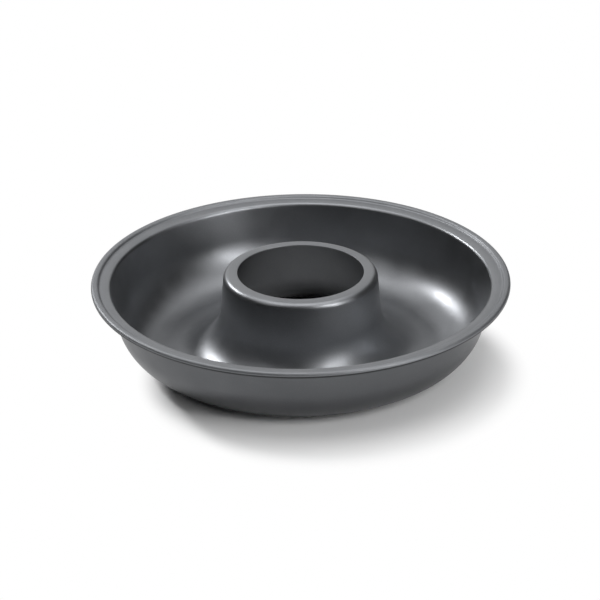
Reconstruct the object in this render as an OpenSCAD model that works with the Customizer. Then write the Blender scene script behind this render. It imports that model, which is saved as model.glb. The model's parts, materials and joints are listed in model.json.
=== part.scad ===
/* [Pan] */
// Diameter over the rolled rim
pan_d = 280; // [264:1:300]
// Height of the rolled rim's top above the ground
pan_h = 52.2; // [50:0.2:60]
// Thickness of the steel sheet
sheet_t = 0.8; // [0.5:0.1:1.2]

/* [Channel] */
// Slope of the outer wall, in degrees from vertical
wall_draft = 10.5; // [8:0.5:16]
// Diameter of the flat foot ring, at the middle of its width
foot_d = 175; // [172:1:182]
// Width of the flat foot ring
foot_w = 7.5; // [5:0.5:12]

/* [Rim] */
// Width of the rim, from the channel's mouth to the bead's outer edge
rim_w = 12.9; // [12:0.1:15]
// Slope of the rim where it leaves the mouth, in degrees from level
rim_rise = 12; // [6:0.5:15]
// Radius of the bend at the channel's mouth, on the food side
mouth_r = 3.1; // [2:0.1:3.5]
// Radius of the groove at the foot of the bead's step, on the food side
groove_r = 1.8; // [1.2:0.1:2.2]
// Slope of the step from the groove up to the bead, in degrees from level
step_rise = 58; // [50:1:62]
// Diameter of the wire inside the bead
wire_d = 2.3; // [1.9:0.1:2.5]
// Clearance all round the wire
wire_gap = 0.1; // [0.05:0.01:0.15]
// Distance between the wire's two ends
wire_end_gap = 1; // [0.5:0.5:3]
// Least clearance between the curl's tucked edge and the sheet round it
tuck_gap = 0.15; // [0.1:0.05:0.25]

/* [Tube] */
// Height of the tube's top above the ground
tube_h = 56.2; // [50:0.1:70]
// Diameter of the hole at the tube's top
hole_d = 84.6; // [80:0.1:88]
// Width of the level ring round the hole
ring_w = 5; // [3:0.1:6]
// Radius of the shoulder from that ring into the tube's wall, on the food side
shoulder_r = 4.5; // [3:0.1:6]
// Slope of the tube's wall, in degrees from vertical
tube_draft = 5.5; // [3:0.5:8]

/* [Hidden] */
$fn = 180;

// Length of a bend's tangent, from its sharp corner to where the bend starts
function tangent(radius, turn) = radius * tan(turn / 2);

// Radius of a bend whose tangent has a given length
function bend_radius(tangent_length, turn) = tangent_length / tan(turn / 2);

// Bead: the curl's outside radius, and the wire's circle at its centre
bead_r = wire_d / 2 + wire_gap + sheet_t;
wire_ring_r = pan_d / 2 - bead_r;
wire_z = pan_h - bead_r;

// Step: up from the groove and over to a level land, wide enough for the curl's tucked edge below it
tuck_depth = sheet_t + tuck_gap;
step_reach = groove_r + bead_r;
land_w = tuck_depth / sin(step_rise);

// Rim: a low crown from the mouth's slope down to level at the groove
mouth_corner_r = pan_d / 2 - rim_w;
wall_turn = 90 - wall_draft;
mouth_turn = wall_turn - rim_rise;
crown_w = rim_w - tangent(mouth_r, mouth_turn) * cos(rim_rise)
    - step_reach * sin(step_rise) - land_w - bead_r;
crown_r = crown_w / sin(rim_rise);

// Channel: the food side's corners, where its straight stretches would meet
channel_z = sheet_t;
mouth_corner_z = pan_h - step_reach * (1 - cos(step_rise))
    - crown_r * (1 - cos(rim_rise)) - tangent(mouth_r, mouth_turn) * sin(rim_rise);
wall_corner_r = mouth_corner_r - (mouth_corner_z - channel_z) * tan(wall_draft);
base_r = bend_radius(wall_corner_r - foot_d / 2 - foot_w / 2, wall_turn);

// Curl: it turns round the wire until its edge is tuck_gap below the step's bend
tuck_r = bead_r - tuck_depth;
open_angle = asin((land_w ^ 2 + bead_r ^ 2 - tuck_r ^ 2) / (2 * land_w * bead_r));
curl_turn = 360 - open_angle;

// Tube: it stands on the foot ring's inner edge
tube_turn = 90 - tube_draft;
tube_corner_r = hole_d / 2 + ring_w + tangent(shoulder_r, tube_turn);
flare_corner_r = tube_corner_r + (tube_h - channel_z) * tan(tube_draft);
flare_r = bend_radius(foot_d / 2 - foot_w / 2 - flare_corner_r, tube_turn);

// Straight stretches left between the bends
wall_length = (mouth_corner_z - channel_z) / cos(wall_draft)
    - tangent(base_r, wall_turn) - tangent(mouth_r, mouth_turn);
tube_length = (tube_h - channel_z) / cos(tube_draft)
    - tangent(flare_r, tube_turn) - tangent(shoulder_r, tube_turn);

// The sheet's food side, from the hole outwards: each run is a straight length, then a bend's radius and left turn
sheet_start = [hole_d / 2, tube_h];
sheet_runs = [
    [ring_w, shoulder_r, -tube_turn],
    [tube_length, flare_r, tube_turn],
    [foot_w, base_r, wall_turn],
    [wall_length, mouth_r, -mouth_turn],
    [0, crown_r, -rim_rise],
    [0, groove_r, step_rise],
    [0, bead_r, -step_rise],
    [land_w, bead_r, -curl_turn]
];

// Farthest that a chord may lie from the arc it stands for
chord_error = 0.01;

// Direction of a heading, and the direction to its left
function ahead(heading) = [cos(heading), sin(heading)];
function left(heading) = [-sin(heading), cos(heading)];

function chords(radius, turn) = ceil(abs(turn) / (2 * acos(1 - chord_error / radius)));

// Points along the sheet's runs, at a depth below its food side
function face_points(depth, at = sheet_start, heading = 0, i = 0) =
    i == len(sheet_runs) ? [] :
    let (
        length = sheet_runs[i][0],
        radius = sheet_runs[i][1],
        turn = sheet_runs[i][2],
        centre = at + length * ahead(heading) + sign(turn) * radius * left(heading),
        steps = chords(radius, turn),
        bend = [for (k = [0:steps]) centre - (sign(turn) * radius + depth) * left(heading + turn * k / steps)],
        end = centre - sign(turn) * radius * left(heading + turn)
    )
    concat(bend, face_points(depth, end, heading + turn, i + 1));

function reverse(points) = [for (i = [len(points) - 1:-1:0]) points[i]];

// The pan: one drawn sheet, from the hole's cut edge down the tube, across the channel and out to the curl
module pan_shell() {
    food_side = concat([sheet_start], face_points(0));
    underside = concat([sheet_start - [0, sheet_t]], face_points(sheet_t));
    color("dimgray") rotate_extrude() polygon(concat(food_side, reverse(underside)));
}

// The wire that stiffens the rim: an open ring, cut where its ends meet at the back
module rim_wire() {
    end_angle = wire_end_gap / wire_ring_r * 180 / PI;
    color("silver") rotate(90 + end_angle / 2) translate([0, 0, wire_z])
        rotate_extrude(angle = 360 - end_angle) translate([wire_ring_r, 0]) circle(d = wire_d);
}

pan_shell();
rim_wire();
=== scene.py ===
import json
from cmath import rect
from math import acos, asin, ceil, copysign, cos, pi, radians, sin, tan

import bpy
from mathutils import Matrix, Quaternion, Vector


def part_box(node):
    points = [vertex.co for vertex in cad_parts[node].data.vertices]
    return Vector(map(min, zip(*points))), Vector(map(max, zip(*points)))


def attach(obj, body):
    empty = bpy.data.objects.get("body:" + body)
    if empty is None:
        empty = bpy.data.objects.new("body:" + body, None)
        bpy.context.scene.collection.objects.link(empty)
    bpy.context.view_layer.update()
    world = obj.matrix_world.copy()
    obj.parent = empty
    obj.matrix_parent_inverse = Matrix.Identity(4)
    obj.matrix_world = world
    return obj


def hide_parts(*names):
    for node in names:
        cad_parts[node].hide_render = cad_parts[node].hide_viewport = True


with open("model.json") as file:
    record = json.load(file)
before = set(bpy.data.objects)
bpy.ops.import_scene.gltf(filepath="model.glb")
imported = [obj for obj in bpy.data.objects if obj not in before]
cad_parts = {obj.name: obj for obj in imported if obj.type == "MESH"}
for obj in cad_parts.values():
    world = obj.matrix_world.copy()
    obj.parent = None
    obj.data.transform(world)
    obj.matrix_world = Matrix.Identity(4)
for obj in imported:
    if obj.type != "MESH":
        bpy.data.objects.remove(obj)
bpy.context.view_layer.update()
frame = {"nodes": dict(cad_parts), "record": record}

scene = bpy.context.scene

MM = 0.001
ORIGIN = (0, 0, 0)  # on the pan's axis, level with its foot

# ---------------------------------------------------------------- sizes
# In metres and radians, under the names that part.scad gives them, with radii for its diameters.
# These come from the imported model, where the hole's bore is as long as the sheet is thick.
mounts = {mount["name"]: mount for mount in frame["record"]["mounts"]}
hole = mounts["centre_hole"]["dims"]
wire_low, wire_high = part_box("rim_wire")
shell_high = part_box("pan_shell")[1]

pan_r = shell_high.x
tube_h = shell_high.z
hole_r = hole["r_mm"] * MM
sheet_t = hole["length_mm"] * MM
foot_r = mounts["foot"]["pos_m"][0]
wire_r = (wire_high.z - wire_low.z) / 2
wire_ring_r = wire_high.x - wire_r
wire_z = (wire_high.z + wire_low.z) / 2

# These repeat part.scad, apart from the last.
wall_draft = radians(10.5)  # slope of the outer wall, from vertical
foot_w = 7.5 * MM           # width of the flat foot ring
rim_w = 12.9 * MM           # from the channel's mouth to the bead's outer edge
rim_rise = radians(12)      # slope of the rim where it leaves the mouth
mouth_r = 3.1 * MM          # bend at the mouth
groove_r = 1.8 * MM         # groove at the foot of the bead's step
step_rise = radians(58)     # slope of that step
tuck_gap = 0.15 * MM        # from the curl's tucked edge to the sheet round it
ring_w = 5 * MM             # width of the level ring round the hole
shoulder_r = 4.5 * MM       # shoulder from that ring into the tube's wall
tube_draft = radians(5.5)   # slope of the tube's wall, from vertical
cut_r = 0.18 * MM           # broken corners of the sheet's cut edges


def tangent(radius, turn):
    """From a bend's corner point to where the bend begins."""
    return radius * tan(turn / 2)


def bend_radius(tangent_length, turn):
    """The bend that begins at a given distance from its corner point."""
    return tangent_length / tan(turn / 2)


# Bead, and the step up to it: a level land that is wide enough for the curl's tucked edge below it.
bead_r = pan_r - wire_ring_r
pan_h = wire_z + bead_r
tuck_depth = sheet_t + tuck_gap
step_reach = groove_r + bead_r
land_w = tuck_depth / sin(step_rise)

# Rim: a low crown from the mouth's slope down to level at the groove.
wall_turn = pi / 2 - wall_draft
mouth_turn = wall_turn - rim_rise
mouth_tangent = tangent(mouth_r, mouth_turn)
crown_w = rim_w - mouth_tangent * cos(rim_rise) - step_reach * sin(step_rise) - land_w - bead_r
crown_r = crown_w / sin(rim_rise)
crown_drop = crown_r * (1 - cos(rim_rise))

# Channel, between the corners where its straight stretches would meet.
mouth_corner_r = pan_r - rim_w
mouth_corner_z = pan_h - step_reach * (1 - cos(step_rise)) - crown_drop - mouth_tangent * sin(rim_rise)
channel_depth = mouth_corner_z - sheet_t
wall_corner_r = mouth_corner_r - channel_depth * tan(wall_draft)
base_r = bend_radius(wall_corner_r - foot_r - foot_w / 2, wall_turn)
wall_length = channel_depth / cos(wall_draft) - tangent(base_r, wall_turn) - mouth_tangent

# Curl: it turns round the wire until its edge is tuck_gap below the step's bend.
tuck_r = bead_r - tuck_depth
open_angle = asin((land_w**2 + bead_r**2 - tuck_r**2) / (2 * land_w * bead_r))
curl_turn = 2 * pi - open_angle

# Tube: it stands on the foot ring's inner edge.
tube_turn = pi / 2 - tube_draft
tube_depth = tube_h - sheet_t
tube_corner_r = hole_r + ring_w + tangent(shoulder_r, tube_turn)
flare_corner_r = tube_corner_r + tube_depth * tan(tube_draft)
flare_r = bend_radius(foot_r - foot_w / 2 - flare_corner_r, tube_turn)
tube_length = tube_depth / cos(tube_draft) - tangent(flare_r, tube_turn) - tangent(shoulder_r, tube_turn)

# The sheet's food side from the hole outwards, without the broken corner at either end. A point is the
# complex number radius + height j, and each run is a straight length, then a bend's radius and left turn.
SHEET_START = complex(hole_r + cut_r, tube_h)
SHEET_RUNS = (
    (ring_w - cut_r, shoulder_r, -tube_turn),
    (tube_length, flare_r, tube_turn),
    (foot_w, base_r, wall_turn),
    (wall_length, mouth_r, -mouth_turn),
    (0, crown_r, -rim_rise),
    (0, groove_r, step_rise),
    (0, bead_r, -step_rise),
    (land_w, bead_r, cut_r / bead_r - curl_turn),
)

# How finely the sheet is divided.
STEPS_AROUND = 252           # about the axis
BEND_STEP = radians(5.9)     # most turn between two points of a bend
CHORD_ERROR = 0.008 * MM     # most that a chord may lie from its bend
STRAIGHT_STEP = 2.5 * MM     # most length between two points of a straight stretch
CUT_STEPS = 3                # in each broken corner

# ---------------------------------------------------------------- looks
COATS = (
    # material, how bright its tones are beside those of the food side
    ("non_stick_coating", 1),
    # the curl's lower side is painted shade: a quarter of the food side's tones stands for the shade
    # under the bead
    ("curl_painted_shade", 0.25),
    ("outside_coating", 0.6),
)
COATING_TONES = (
    (0.190, 0.196, 0.206),  # dark clouds
    (0.206, 0.212, 0.222),  # light clouds
    (0.320, 0.328, 0.340),  # flecks
)
COATING_ROUGHNESS = (0.37, 0.43)
WIRE_TONES = ((0.5, 0.5, 0.49), (0.6, 0.6, 0.59))
WIRE_ROUGHNESS = (0.28, 0.45)

# Noises: the scale, in features to the metre, and the detail.
CLOUDS = (45, 3)
FLECKS = (2600, 1)
GLOSS_PATCHES = (70, 4)
PEEL = (420, 2)
GRAIN = (2400, 1)
WIRE_LINES = (6000, 2)
WIRE_STAINS = (160, 3)

# Most of a noise's values lie in the first range. The flecks are its peaks, blended in by the last.
NOISE_RANGE = (0.3, 0.7)
FLECK_PEAKS = (0.6, 0.72)
FLECK_BLEND = (0, 0.35)

# Bumps: the height and the strength.
PEEL_BUMP = (0.02 * MM, 0.6)
GRAIN_BUMP = (0.004 * MM, 0.5)
LINES_BUMP = (0.01 * MM, 0.5)

# The coat gets duller towards the handled rim, over a range of distances from the origin.
HANDLED_RIM = (0.1385, 0.1425)
RIM_ROUGHER = 0.14

# The floor's paper turns plain white over SHADOW_EDGE's distances from SHADOW_CENTRE and UNDER_PAN's
# from the origin. Nearer than either, it keeps the pan's shadow.
FLOOR_WHITE = (0.95, 0.95, 0.95)
FLOOR_HALF = 40
FLOOR_DROP = 0.1 * MM
SHADOW_CENTRE = (0.022, -0.041, 0)
SHADOW_EDGE = (0.108, 0.132)
UNDER_PAN = (foot_r + foot_w / 2, foot_r + 2 * foot_w)

# The camera was fitted to the rim and the hole in the photograph. Its sensor and lens are in millimetres.
CAMERA_PLACE = Vector((0, -1.52751, 0.77752))
CAMERA_LOOK = Vector((-0.0006, 0, 0.034962))
CAMERA_ROLL = radians(-0.665)
CAMERA_SENSOR = 36
CAMERA_LENS = 151.768

STUDIO_GREY = (0.004, 0.004, 0.004)
LAMP_DISTANCE = 2.2
LAMPS = (
    # name, azimuth from +X, elevation, width, height (all in degrees), radiance
    ("key", 141, 31.5, 5, 6, 152),
    ("fill_high", -46, 40, 10, 22, 13),
    ("fill_low", -37, 18, 12, 26, 9),
    ("top", 0, 90, 44, 44, 2.4),
    ("top_left", 158, 62, 90, 26, 1.2),
    ("top_right", 17, 62, 80, 26, 1.1),
    ("back", 92, 21, 50, 34, 0.95),
)

# The Mix node's sockets for colours, by number, since others have the same names.
MIX_A = 6
MIX_B = 7
MIX_RESULT = 2


# ---------------------------------------------------------------- the sheet
def straight_stations(at, heading, length):
    """Stations along a straight length, without its first. A station is a point and the heading there."""
    parts = ceil(length / STRAIGHT_STEP)
    return [(at + length * k / parts * rect(1, heading), heading) for k in range(1, parts + 1)]


def bend_stations(at, heading, radius, turn):
    """Stations round a bend, without its first. A positive turn is to the left."""
    arm = copysign(radius, turn) * 1j
    centre = at + arm * rect(1, heading)
    parts = ceil(abs(turn) / min(BEND_STEP, 2 * acos(1 - CHORD_ERROR / radius)))
    headings = [heading + turn * k / parts for k in range(1, parts + 1)]
    return [(centre - arm * rect(1, ahead), ahead) for ahead in headings]


def sheet_stations():
    """Stations along the whole food side."""
    stations = [(SHEET_START, 0)]
    for length, radius, turn in SHEET_RUNS:
        stations += straight_stations(*stations[-1], length)
        stations += bend_stations(*stations[-1], radius, turn)
    return stations


def cut_edge(station, outward):
    """The sheet's cut end, from the food side to the underside, with both corners just broken."""
    at, heading = station
    along = outward * rect(1, heading)
    into = -1j * rect(1, heading)
    low = at + (sheet_t - cut_r) * into
    angles = [pi / 2 * k / CUT_STEPS for k in range(CUT_STEPS + 1)]
    food_corner = [at + cut_r * (sin(a) * along + (1 - cos(a)) * into) for a in angles[1:]]
    under_corner = [low + cut_r * (cos(a) * along + sin(a) * into) for a in angles[:-1]]
    return food_corner + under_corner


def sheet_outline():
    """The closed section in three stretches: the food side, the curl's lower side and the outside."""
    stations = sheet_stations()
    food_side = cut_edge(stations[0], -1)[::-1]
    food_side += [at for at, heading in stations if heading > -pi / 2]
    curl_side = [at for at, heading in stations if heading <= -pi / 2]
    curl_side += cut_edge(stations[-1], 1)
    outside = [at - sheet_t * 1j * rect(1, heading) for at, heading in stations]
    return food_side, curl_side, outside[::-1]


def add_object(name, data):
    """A new object in the scene."""
    thing = bpy.data.objects.new(name, data)
    scene.collection.objects.link(thing)
    return thing


def lathe(name, stretches):
    """The closed outline turned about the Z axis as one smooth mesh, with a material for each stretch."""
    outline = [point for stretch in stretches for point in stretch]
    indices = [index for index, stretch in enumerate(stretches) for point in stretch]
    count = len(outline)
    edges = [(i, (i + 1) % count) for i in range(count)]
    verts = []
    faces = []
    for k in range(STEPS_AROUND):
        a = 2 * pi * k / STEPS_AROUND
        here = k * count
        there = (k + 1) % STEPS_AROUND * count
        verts += [(p.real * cos(a), p.real * sin(a), p.imag) for p in outline]
        faces += [(here + i, here + j, there + j, there + i) for i, j in edges]
    mesh = bpy.data.meshes.new(name)
    mesh.from_pydata(verts, [], faces)
    mesh.polygons.foreach_set("material_index", indices * STEPS_AROUND)
    mesh.shade_smooth()
    mesh.update()
    return add_object(name, mesh)


# ---------------------------------------------------------------- materials
def rgba(colour, shade=1):
    """A colour as a socket takes it, made brighter or darker by a shade."""
    return (*[shade * channel for channel in colour], 1)


def new_material(name):
    """An empty material, its node tree and its output's Surface socket."""
    material = bpy.data.materials.new(name)
    material.use_nodes = True
    tree = material.node_tree
    tree.nodes.clear()
    return material, tree, tree.nodes.new("ShaderNodeOutputMaterial").inputs["Surface"]


def add_node(tree, kind, inputs, **settings):
    """A node with its settings made, and its inputs each set to a constant or linked to an output."""
    node = tree.nodes.new("ShaderNode" + kind)
    for name, value in settings.items():
        setattr(node, name, value)
    for key, value in inputs.items():
        if isinstance(value, bpy.types.NodeSocket):
            tree.links.new(value, node.inputs[key])
        else:
            node.inputs[key].default_value = value
    return node


def position(tree):
    """The place on the piece, from the piece's own origin."""
    return add_node(tree, "TexCoord", {}).outputs["Object"]


def noise(tree, place, scale, detail):
    """Noise about one half, by its scale and detail."""
    inputs = {"Vector": place, "Scale": scale, "Detail": detail}
    return add_node(tree, "TexNoise", inputs).outputs["Fac"]


def spread(tree, value, source, target, interpolation="LINEAR"):
    """The value mapped from one range to another and kept inside it."""
    ends = {"From Min": source[0], "From Max": source[1], "To Min": target[0], "To Max": target[1]}
    inputs = {"Value": value, **ends}
    return add_node(tree, "MapRange", inputs, interpolation_type=interpolation).outputs["Result"]


def beyond(tree, centre, near, far):
    """Rises softly from 0 to 1 between two distances from a centre."""
    inputs = {0: position(tree), 1: centre}
    reach = add_node(tree, "VectorMath", inputs, operation="DISTANCE").outputs["Value"]
    return spread(tree, reach, (near, far), (0, 1), "SMOOTHSTEP")


def combine(tree, operation, a, b):
    """Two numbers combined by a Math node's operation."""
    return add_node(tree, "Math", {0: a, 1: b}, operation=operation).outputs[0]


def mix_colour(tree, factor, a, b):
    """Colour a at factor 0, colour b at factor 1."""
    inputs = {"Factor": factor, MIX_A: a, MIX_B: b}
    return add_node(tree, "Mix", inputs, data_type="RGBA").outputs[MIX_RESULT]


def bump(tree, height, distance, strength, below=None):
    """The surface's normal bent by a height, on top of an earlier bump if there is one."""
    inputs = {"Height": height, "Distance": distance, "Strength": strength}
    if below:
        inputs["Normal"] = below
    return add_node(tree, "Bump", inputs).outputs["Normal"]


def coating_material(name, shade):
    """Satin graphite coating, sprayed and baked on steel: an orange-peel skin with fine pale flecks."""
    material, tree, surface = new_material(name)
    here = position(tree)
    dark, light, fleck = [rgba(tone, shade) for tone in COATING_TONES]
    clouds = spread(tree, noise(tree, here, *CLOUDS), NOISE_RANGE, (0, 1))
    flecks = spread(tree, noise(tree, here, *FLECKS), FLECK_PEAKS, FLECK_BLEND)
    patches = spread(tree, noise(tree, here, *GLOSS_PATCHES), NOISE_RANGE, COATING_ROUGHNESS)
    handled = combine(tree, "MULTIPLY", beyond(tree, ORIGIN, *HANDLED_RIM), RIM_ROUGHER)
    peel = bump(tree, noise(tree, here, *PEEL), *PEEL_BUMP)
    inputs = {
        "Base Color": mix_colour(tree, flecks, mix_colour(tree, clouds, dark, light), fleck),
        "Roughness": combine(tree, "ADD", patches, handled),
        "Metallic": 1,
        "Normal": bump(tree, noise(tree, here, *GRAIN), *GRAIN_BUMP, peel),
    }
    tree.links.new(add_node(tree, "BsdfPrincipled", inputs).outputs["BSDF"], surface)
    return material


def wire_material():
    """Drawn steel wire: fine lines along the wire, the same at every angle about the axis."""
    material, tree, surface = new_material("steel_wire")
    here = position(tree)
    level = add_node(tree, "VectorMath", {0: here, 1: (1, 1, 0)}, operation="MULTIPLY").outputs["Vector"]
    radius = add_node(tree, "VectorMath", {0: level}, operation="LENGTH").outputs["Value"]
    height = add_node(tree, "SeparateXYZ", {0: here}).outputs["Z"]
    section = add_node(tree, "CombineXYZ", {"X": radius, "Z": height}).outputs["Vector"]
    lines = noise(tree, section, *WIRE_LINES)
    stains = spread(tree, noise(tree, here, *WIRE_STAINS), NOISE_RANGE, (0, 1))
    inputs = {
        "Base Color": mix_colour(tree, stains, *[rgba(tone) for tone in WIRE_TONES]),
        "Roughness": spread(tree, lines, NOISE_RANGE, WIRE_ROUGHNESS),
        "Metallic": 1,
        "Normal": bump(tree, lines, *LINES_BUMP),
    }
    tree.links.new(add_node(tree, "BsdfPrincipled", inputs).outputs["BSDF"], surface)
    return material


def floor_material():
    """Matt white paper. Away from the pan it is plain white to the camera and in reflections."""
    material, tree, surface = new_material("studio_floor")
    rays = add_node(tree, "LightPath", {}).outputs
    mirrored = combine(tree, "MAXIMUM", rays["Is Glossy Ray"], rays["Is Transmission Ray"])
    seen = combine(tree, "MAXIMUM", rays["Is Camera Ray"], mirrored)
    unshaded = beyond(tree, SHADOW_CENTRE, *SHADOW_EDGE)
    open_floor = combine(tree, "MULTIPLY", unshaded, beyond(tree, ORIGIN, *UNDER_PAN))
    inputs = {
        "Fac": combine(tree, "MULTIPLY", seen, open_floor),
        1: add_node(tree, "BsdfDiffuse", {"Color": rgba(FLOOR_WHITE)}).outputs["BSDF"],
        2: add_node(tree, "Emission", {}).outputs["Emission"],
    }
    tree.links.new(add_node(tree, "MixShader", inputs).outputs["Shader"], surface)
    return material


# ---------------------------------------------------------------- stage
def make_floor():
    """A square of paper that reaches past the horizon, just under the pan's foot."""
    corners = [(x * FLOOR_HALF, y * FLOOR_HALF, 0) for x, y in ((-1, -1), (1, -1), (1, 1), (-1, 1))]
    mesh = bpy.data.meshes.new("floor")
    mesh.from_pydata(corners, [], [(0, 1, 2, 3)])
    mesh.materials.append(floor_material())
    floor = add_object("floor", mesh)
    floor.location.z = -FLOOR_DROP


def aim(thing, place, target, roll=0):
    """Put a camera or a lamp in its place, turned to a target and rolled about its line of sight."""
    turn = (target - place).to_track_quat("-Z", "Y")
    thing.location = place
    thing.rotation_mode = "QUATERNION"
    thing.rotation_quaternion = turn @ Quaternion((0, 0, 1), roll)


def make_camera():
    """The photograph's view, with its slight roll."""
    data = bpy.data.cameras.new("camera")
    data.sensor_width = CAMERA_SENSOR
    data.lens = CAMERA_LENS
    camera = add_object("camera", data)
    aim(camera, CAMERA_PLACE, CAMERA_LOOK, CAMERA_ROLL)
    scene.camera = camera


def make_world():
    """A dark studio: what light there is comes from the lamps and the paper."""
    world = bpy.data.worlds.new("studio")
    world.use_nodes = True
    world.node_tree.nodes["Background"].inputs["Color"].default_value = rgba(STUDIO_GREY)
    scene.world = world


def lamp_side(angle):
    """The side of a lamp that is so many degrees across, seen from the pan."""
    return 2 * LAMP_DISTANCE * tan(radians(angle) / 2)


def make_lamp(name, azimuth, elevation, width, height, radiance):
    """A rectangular lamp that faces the pan and that the camera doesn't see."""
    data = bpy.data.lights.new(name, "AREA")
    data.shape = "RECTANGLE"
    data.size = lamp_side(width)
    data.size_y = lamp_side(height)
    data.energy = radiance * pi * data.size * data.size_y
    lamp = add_object(name, data)
    lamp.visible_camera = False
    a = radians(azimuth)
    e = radians(elevation)
    place = Vector((cos(a) * cos(e), sin(a) * cos(e), sin(e))) * LAMP_DISTANCE
    aim(lamp, place, Vector(ORIGIN))


# ---------------------------------------------------------------- the scene
scene.view_settings.view_transform = "Standard"

shell = lathe("coated_shell", sheet_outline())
for coat in COATS:
    shell.data.materials.append(coating_material(*coat))
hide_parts("pan_shell")
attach(shell, "root")

steel = wire_material()
for material_slot in frame["nodes"]["rim_wire"].material_slots:
    material_slot.link = "OBJECT"
    material_slot.material = steel

make_floor()
make_camera()
make_world()
for lamp in LAMPS:
    make_lamp(*lamp)
